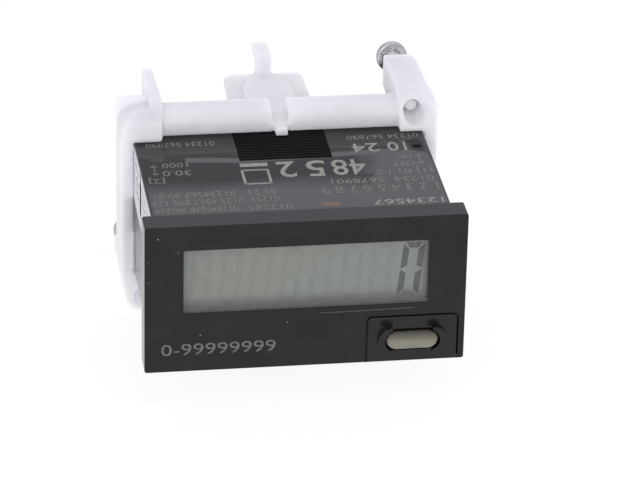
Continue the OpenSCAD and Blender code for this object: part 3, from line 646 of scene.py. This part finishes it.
display_bars("lit_digit_bars", prisms([BARS[letter] for letter in "abcef"], last_place, LIT_T),
             ink("display_bar_dark", linear(24, 24, 26), 0.36, patch=3.0))
display_bars("lit_digit_low_bar", prisms([BARS["d"]], last_place, LIT_T),
             ink("display_bar_faint", linear(20, 20, 22), 0.1, patch=3.0))

next_digit = (-DIGIT_PITCH * MM, 0.0, 0.0)
digits = Rule("unlit_digits", Places=7, Pitch=next_digit, Start=next_digit)
row = digits.node("GeometryNodeMeshLine", {}, {
    "Count": digits["Places"], "Start Location": digits["Start"], "Offset": digits["Pitch"]})
copies = digits.node("GeometryNodeInstanceOnPoints", {}, {
    "Points": row, "Instance": digits["Geometry"]})
unlit_ink = ink("display_bar_unlit", linear(60, 70, 60), 0.012, patch=3.0)
all_bars = prisms(list(BARS.values()), last_place, UNLIT_T)
display_bars("unlit_digit_bars", digits.mesh(copies, unlit_ink, all_bars), unlit_ink)


# Window border, strips of painted shade and lines on the front, one of them a painted highlight

COVERED, UNDER_EDGE, PROUD = 0.2, 0.3, 0.012
opening = rounded_corners(WINDOW_LEFT, WINDOW_RIGHT, WINDOW_LOW, WINDOW_HIGH, 0.3)
border_edge = rounded_corners(-RECESS_HALF_W - COVERED, RECESS_HALF_W + COVERED,
                              RECESS_LOW - COVERED, RECESS_HIGH + COVERED, 0.5)
on_counter("window_border", flat_ring(opening, border_edge, FRONT_Y - PROUD, LENS_Y - LAID_ON))

# Painted shade: grey strips on the opening's shelf and sill, in a shaded display grey, carry the
# display's darker lower band down to the bottom of the opening.
STRIP_T, SHELF_H = 0.02, 0.7
painted_shade_strips = moulded("painted_shade_strips", linear(106, 105, 108), 0.5, depth=0.0)
strip_ends = WINDOW_LEFT - UNDER_EDGE, WINDOW_RIGHT + UNDER_EDGE
shelf = rectangle(*strip_ends, WINDOW_LOW - SHELF_H, SILL_Z + STRIP_T)
on_counter("window_shelf_strip", prisms([shelf], on_shelf, STRIP_T), painted_shade_strips)
sill = rectangle(*strip_ends, SHELF_Y - LAID_ON, GLASS_Y - STRIP_T)
on_counter("window_sill_strip", prisms([sill], on_sill, STRIP_T), painted_shade_strips)

PLUG_H, PLUG_D = 0.2, 0.4
groove_ends = [rectangle(x, x + GROOVE_W, -BEZEL_HALF_H, -BEZEL_HALF_H + PLUG_H) for x in GROOVES_X]
on_counter("key_groove_ends", prisms(groove_ends, in_groove, PLUG_D))
# Painted highlight: a thin light line where the lens recess's lower rim catches the light.
edge_line = stroke(2.0, -3.28, 16.4, -3.12, 0.08)
on_counter("recess_edge_painted_highlight", prisms([edge_line], on_front, PRINT),
           ink("painted_edge_highlight", linear(132, 131, 136), 0.5, patch=1.5))


# Print

top_ink = ink("warm_grey_print", linear(160, 156, 151), 0.55)
faint_ink = ink("faint_grey_print", linear(152, 150, 142), 0.56)
bright_ink = ink("bright_print", linear(180, 175, 166), 0.7)


def figures(text, heavier=0.0):
    """Flat closed figures standing in X and Y, with strokes heavier by some millimetres."""
    drawn_size, curve_steps = 2.6, 3
    curve = bpy.data.curves.new("figures", "FONT")
    curve.body, curve.size, curve.offset = text, drawn_size * MM, heavier * MM
    curve.extrude, curve.resolution_u = PRINT / 2 * MM, curve_steps
    return evaluated(bpy.data.objects.new("bench", curve))


def fitted(mesh, width, height):
    """The mesh centred on 0 and stretched to a width and a height in millimetres."""
    lows, highs = ([pick(v.co[k] for v in mesh.vertices) for k in (0, 1)] for pick in (min, max))
    scale = Matrix.Diagonal((width * MM / (highs[0] - lows[0]), height * MM / (highs[1] - lows[1]),
                             1.0, 1.0))
    middle = Matrix.Translation((-(lows[0] + highs[0]) / 2, -(lows[1] + highs[1]) / 2, 0))
    return placed(mesh, scale @ middle)


def top_print(name, text, left, right, low, high, finish, heavier=0.0):
    """Figures on the case top, read from behind, filling a place in X and Y."""
    mesh = fitted(figures(text, heavier), right - left, high - low)
    middle = Vector(((left + right) / 2, (low + high) / 2, CASE_TOP + PRINT / 2)) * MM
    turn = Matrix.Rotation(math.pi, 4, "Z")
    return on_counter(name, placed(mesh, Matrix.Translation(middle) @ turn), finish)


for name, text, left, right, low, high, finish in (
        ("left_heading", "01234 567890", -20.7, -10.2, 25.1, 26.6, top_ink),
        ("right_heading", "01234 567890", 10.2, 21.3, 25.0, 26.5, top_ink),
        ("value_upper", "1000", -19.0, -15.1, 17.9, 19.4, top_ink),
        ("value_lower", "30.0", -19.2, -14.9, 15.1, 16.8, top_ink),
        ("switch_2", "[2]", -21.5, -19.1, 12.6, 14.7, top_ink),
        ("switch_1", "[1] 01 / 2", 12.9, 21.5, 12.5, 14.7, top_ink),
        ("on", "ON", 16.9, 19.1, 17.6, 19.0, top_ink),
        ("off", "OFF", 15.8, 19.2, 15.1, 16.7, top_ink),
        ("right_line", "01234  5678901", 5.7, 21.3, 9.9, 11.5, top_ink),
        ("right_large", "1 2 3 4 5 6 7 8 9", 3.8, 21.5, 6.7, 9.0, faint_ink),
        ("small_line_1", "01234567 89 01", -21.3, -9.1, 7.4, 9.2, faint_ink),
        ("small_line_2", "0123 4567 890 123", -21.7, -8.2, 4.9, 6.7, faint_ink),
        ("small_line_3", "012345678 901234", -21.6, -9.3, 2.4, 4.1, faint_ink),
        ("small_line_4", "01 23", -7.2, -3.1, 7.4, 9.2, faint_ink),
        ("small_line_5", "01234", -7.1, -2.8, 5.1, 6.7, faint_ink),
        ("small_line_6", "012345", -7.8, -1.2, 2.3, 4.0, faint_ink)):
    top_print("print_" + name, text, left, right, low, high, finish)
for number, (text, left, right, low, high) in enumerate((
        ("2", -1.8, 1.0, 12.9, 18.3), ("5", 2.6, 5.5, 12.9, 18.3), ("48", 6.5, 11.7, 12.9, 18.2),
        ("24", 10.5, 14.7, 20.5, 23.5), ("10", 16.0, 18.9, 20.5, 23.6),
        ("1234567", 10.9, 21.5, 2.3, 4.0)), 1):
    top_print(f"print_heavy_figures_{number}", text, left, right, low, high, bright_ink, heavier=0.02)


def bars_on_top(name, outlines, finish):
    return on_counter(name, prisms(outlines, on_case_top, PRINT), finish)


def double_arrow(x, low, high):
    """A thin line with an open head at both ends, along the slide of a switch."""
    line, aside, along = 0.2, 0.55, 0.715
    heads = [stroke(x, tip, x + side * aside, tip + inward * along, line)
             for tip, inward in ((low, 1), (high, -1)) for side in (-1, 1)]
    return [stroke(x, low, x, high, line)] + heads


def frame_strokes(left, right, low, high, line):
    """The four sides of a printed frame, which overlap at its corners; low and high are outside."""
    half, tucked = line / 2, line / 4
    return [stroke(left - half, high - half, right + half, high - half, line),
            stroke(left - half, low + half, right + half, low + half, line),
            stroke(left, high - tucked, left, low + tucked, line),
            stroke(right, high - tucked, right, low + tucked, line)]


bars_on_top("print_plain_bar", [rectangle(-7.3, -3.1, 17.1, 18.3)], bright_ink)
arrows = double_arrow(-20.3, 15.5, 18.9) + double_arrow(20.2, 15.5, 18.9)
bars_on_top("print_arrows", arrows, top_ink)
bars_on_top("print_plain_frame", frame_strokes(-7.2, -3.3, 11.0, 16.1, 0.4), bright_ink)
bars_on_top("print_brown_bar", [[(3.2, 2.6), (5.8, 2.6), (6.1, 3.9), (2.9, 3.9)]],
            ink("brown_print", linear(150, 122, 98), 0.6))

count_range = fitted(figures("0-99999999"), 17.1, 1.9)
upright = Matrix.Translation(Vector((-12.95, FRONT_Y - PRINT / 2, -8.3)) * MM)
on_counter("print_count_range", placed(count_range, upright @ Matrix.Rotation(math.pi / 2, 4, "X")),
           ink("grey_front_print", linear(118, 117, 116), 0.8))

label_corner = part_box("side_label")[0]
label_ink = ink("label_print_grey", linear(172, 172, 176), 0.42)


def label_print(name, text, from_front, length, above, height):
    """Figures on the side label, placed from its front lower corner, in millimetres."""
    thinner = 0.2
    mesh = placed(fitted(figures(text), length, height), Matrix.Diagonal((1.0, 1.0, thinner, 1.0)))
    outwards, back, up = -thinner * PRINT / 2, from_front + length / 2, above + height / 2
    middle = label_corner + Vector((outwards, back, up)) * MM
    turn = Matrix(((0, 0, -1), (-1, 0, 0), (0, 1, 0))).to_4x4()
    return new_piece(name, placed(mesh, Matrix.Translation(middle) @ turn), "label_film", "counter",
                     finish=label_ink)


for number, (text, from_front, length, above) in enumerate((
        ("01234 5678", 0.8, 11.0, 6.5), ("0123456789 0", 0.8, 11.4, 4.6), ("012345678", 0.8, 9.2, 2.7),
        ("12 345 67", 15.6, 9.0, 6.5), ("0123 4567", 15.6, 9.0, 4.6), ("01 23456", 15.6, 8.0, 2.7)), 1):
    label_print(f"label_line_{number}", text, from_front, length, above, 1.25)


# Bracket

def soft_bracket():
    """The bracket with slightly rounded outer edges, as a nylon moulding has, and crisp edges next
    to the case."""
    voxel, rounds, kept_crisp, flat_angle = 0.2, 3, 0.3, 0.7
    mesh = baked(joined_mesh("mounting_bracket"), ("TRIANGULATE", {}),
                 ("REMESH", {"mode": "VOXEL", "voxel_size": voxel * MM, "use_smooth_shade": True}))
    work = bmesh.new()
    work.from_mesh(mesh)
    outer = [v for v in work.verts if abs(v.co.x) > (RING_HALF_W + kept_crisp) * MM or
             abs(v.co.z + BRACKET_DROP * MM) > (RING_HALF_H + kept_crisp) * MM]
    for _ in range(rounds):
        bmesh.ops.smooth_vert(work, verts=outer, factor=0.5,
                              use_axis_x=True, use_axis_y=True, use_axis_z=True)
    work.to_mesh(mesh)
    work.free()
    mesh = baked(mesh, ("DECIMATE", {"decimate_type": "DISSOLVE",
                                     "angle_limit": math.radians(flat_angle)}))
    mesh.shade_smooth()
    return new_piece("clamp_bracket_moulding", mesh, "white_nylon", "bracket", "mounting_bracket")


def guide_rib(name, side):
    """Low rib on the inside of an arm, which closes the gap to the case in its lower half."""
    sunk, corner, edge = 0.2, 0.25, 0.04
    outline = rounded_corners(BRACKET_Y, BRACKET_Y + RIB_D, RIB_LOW, RIB_TOP, corner)
    mesh = prisms([outline], lambda u, v, h: (side * (RING_HALF_W - RIB_H + h), u, v), RIB_H + sunk)
    return new_piece(name, round_edges(mesh, edge), "white_nylon", "bracket")


soft_bracket()
guide_rib("left_arm_rib", -1)
guide_rib("right_arm_rib", 1)


# Screws

def thread_mesh(turns, pitch, crest, depth, finish):
    """A screw thread along Z as one closed ridge wound round the axis, from Z 0 upwards."""
    rule = Rule("thread", Turns=float(turns), Pitch=pitch * MM, Crest=crest * MM, Depth=depth * MM,
                Steps=28)
    radius = rule.maths("SUBTRACT", rule["Crest"], rule["Depth"])
    wound = rule.node("GeometryNodeCurveSpiral", {}, {
        "Resolution": rule["Steps"], "Rotations": rule["Turns"], "Start Radius": radius,
        "End Radius": radius, "Height": rule.maths("MULTIPLY", rule["Turns"], rule["Pitch"])})
    level = rule.node("GeometryNodeSetCurveNormal", {"mode": "Z_UP"}, {0: wound})
    ridge = rule.node("GeometryNodeCurvePrimitiveCircle", {"mode": "RADIUS"}, {
        "Resolution": 3, "Radius": rule["Depth"]})
    swept = rule.node("GeometryNodeCurveToMesh", {}, {
        "Curve": level, "Profile Curve": ridge, "Fill Caps": True})
    return rule.mesh(swept, finish)


def threaded_screw(node, name, x, z, head_y, shank, length, pitch):
    """A CAD screw with its shank cut down to the thread's root, and a thread wound round it."""
    depth, plain_end, under_head = 0.52 * pitch, 1.0, head_y - 0.01
    root = 1 - depth * 0.9 / shank
    mesh = joined_mesh(node)
    for vertex in mesh.vertices:
        if vertex.co.y < under_head * MM:
            vertex.co.x = (vertex.co.x - x * MM) * root + x * MM
            vertex.co.z = (vertex.co.z - z * MM) * root + z * MM
    mesh = round_edges(mesh, 0.08, lambda px, py, pz: py > under_head, segments=2, least_angle=40)
    turns = (length - plain_end) / pitch
    ridge = thread_mesh(turns, pitch, shank, depth, FINISHES[SLOT_OF[node]])
    start = Matrix.Translation(Vector((x, head_y - 0.2, z)) * MM)
    work = bmesh.new()
    work.from_mesh(mesh)
    work.from_mesh(placed(ridge, start @ Matrix.Rotation(math.pi / 2, 4, "X")))
    bmesh.ops.recalc_face_normals(work, faces=work.faces)
    return new_piece(name, shaded(mesh_of(work, name)), SLOT_OF[node], BODY_OF[node], node)


PLATE_FACE = COVER_END + 3.4
for side, sign in (("upper", 1), ("lower", -1)):
    threaded_screw(f"clamp_screw_{side}", f"{side}_clamp_screw", sign * CLAMP_X, CLAMP_Z[side],
                   CLAMP_HEAD_Y, CLAMP_RADIUS, length=18.0, pitch=0.5)
for number in range(1, 5):
    middle = (number - 2.5) * TERMINAL_PITCH
    threaded_screw(f"terminal_screw_{number}", f"wire_screw_{number}", middle, 0.0,
                   TERMINAL_HEAD_Y, TERMINAL_RADIUS, length=5.5, pitch=0.6)
    smooth_copy(f"terminal_washer_{number}", f"wire_washer_{number}", SMALL_EDGE)
    smooth_copy(f"terminal_plate_{number}", f"wire_plate_{number}", SMALL_EDGE,
                lambda x, y, z: y > PLATE_FACE)


# Floor, lights and camera

def studio_floor():
    """A pale sheet that glows a little, so that it stays as white as a studio ground."""
    finish = Finish("pale_floor", Roughness=0.9, Emission_Color=(1.0, 1.0, 1.0, 1.0),
                    Emission_Strength=0.92, Specular_IOR_Level=0.0)
    greys = [(grey, grey, grey, 1) for grey in (0.1, 0.12)]
    finish.set(Base_Color=finish.blend(finish.noise(300.0), *greys))
    reach, level = 4.0, cad_box[0].z
    corners = [(-reach, -reach, level), (reach, -reach, level), (reach, reach, level),
               (-reach, reach, level)]
    mesh = bpy.data.meshes.new("floor")
    mesh.from_pydata(corners, [], [(0, 1, 2, 3)])
    mesh.materials.append(finish.material)
    floor = bpy.data.objects.new("floor", mesh)
    bpy.context.collection.objects.link(floor)


def softbox(name, place, aim, width, height, brightness, colour=(1.0, 1.0, 1.0), tilt=0.0):
    """A flat lamp whose face has the given brightness, turned towards a point and tilted in its
    plane; sizes in metres."""
    lamp = bpy.data.lights.new(name, "AREA")
    lamp.shape, lamp.size, lamp.size_y = "RECTANGLE", width, height
    lamp.energy = brightness * math.pi * width * height
    lamp.color = colour
    holder = bpy.data.objects.new(name, lamp)
    holder.location = place
    facing = (Vector(place) - Vector(aim)).to_track_quat("Z", "Y").to_matrix()
    holder.rotation_euler = (facing @ Matrix.Rotation(tilt, 3, "Z")).to_euler()
    bpy.context.collection.objects.link(holder)


def backdrop():
    """Bright panels behind the counter, for its polished top to mirror, round a darker bar on the
    left that fades upwards and to the right; sizes in millimetres."""
    bluish, distance, slope = (0.94, 0.99, 1.1), 300, 0.0257
    left_end, bar_left, corner, right_end = -300, 11.5, 61, 300
    foot, bar_low, bar_high, top = 145.2, 146.4, 151.5, 420
    steps, fade, step_width = 6, 0.55, 1
    under, beside, above = 0.76, 0.68, 0.72
    bar_end = bar_high + steps * fade
    panels = [(bar_left, corner, foot, bar_low, under), (corner, right_end, foot, bar_end, beside),
              (left_end, right_end, bar_end, top, above)]
    for step in range(steps):
        share = (step + 1) / (steps + 1)
        low, left = bar_high + fade * step, corner - (steps - step) * step_width
        panels.append((left_end, corner, low, low + fade, above * share))
        panels.append((left, left + step_width, bar_low, bar_high, beside * share))
    for left, right, low, high, brightness in panels:
        across = (left + right) / 2
        up = (low + high) / 2 + (corner - across) * slope
        softbox("backdrop", (across * MM, distance * MM, up * MM), (across * MM, 0, up * MM),
                (right - left) * MM, (high - low) * MM, brightness, bluish, math.atan(slope))


def studio_lights():
    world = bpy.data.worlds.new("white_studio")
    world.use_nodes = True
    background = world.node_tree.nodes["Background"]
    background.inputs["Color"].default_value = (0.97, 0.99, 1.04, 1.0)
    background.inputs["Strength"].default_value = 0.62
    bpy.context.scene.world = world
    case_middle = (0, 0.02, 0)
    softbox("top_softbox", (0.1, -0.35, 0.8), case_middle, 0.4, 0.4, brightness=1.9)
    softbox("front_softbox", (-0.2, -0.85, 0.33), case_middle, 0.8, 0.5, brightness=2.1)
    backdrop()


def photo_camera():
    """The camera where the photograph was taken from, worked out from the bezel's corners."""
    azimuth, elevation, roll = (math.radians(angle) for angle in (8.739, 26.732, 1.309))
    focal_pixels, picture_width = 3941.0, 640
    aside, below, distance = -2.043, -7.988, 582.29
    back = Vector((-math.sin(azimuth) * math.cos(elevation),
                   -math.cos(azimuth) * math.cos(elevation), math.sin(elevation)))
    level = (-back).cross(Vector((0, 0, 1))).normalized()
    upward = level.cross(-back)
    right = level * math.cos(roll) + upward * math.sin(roll)
    up = upward * math.cos(roll) - level * math.sin(roll)
    data = bpy.data.cameras.new("photo_camera")
    data.sensor_width = 36.0
    data.lens = focal_pixels * data.sensor_width / picture_width
    data.clip_start, data.clip_end = 0.01, 20.0
    camera = bpy.data.objects.new("photo_camera", data)
    camera.matrix_world = Matrix((right, up, back)).transposed().to_4x4()
    camera.location = (back * distance - right * aside - up * below + Vector((0, FRONT_Y, 0))) * MM
    bpy.context.collection.objects.link(camera)
    bpy.context.scene.camera = camera


studio_floor()
studio_lights()
photo_camera()
bpy.context.scene.view_settings.view_transform = "Standard"
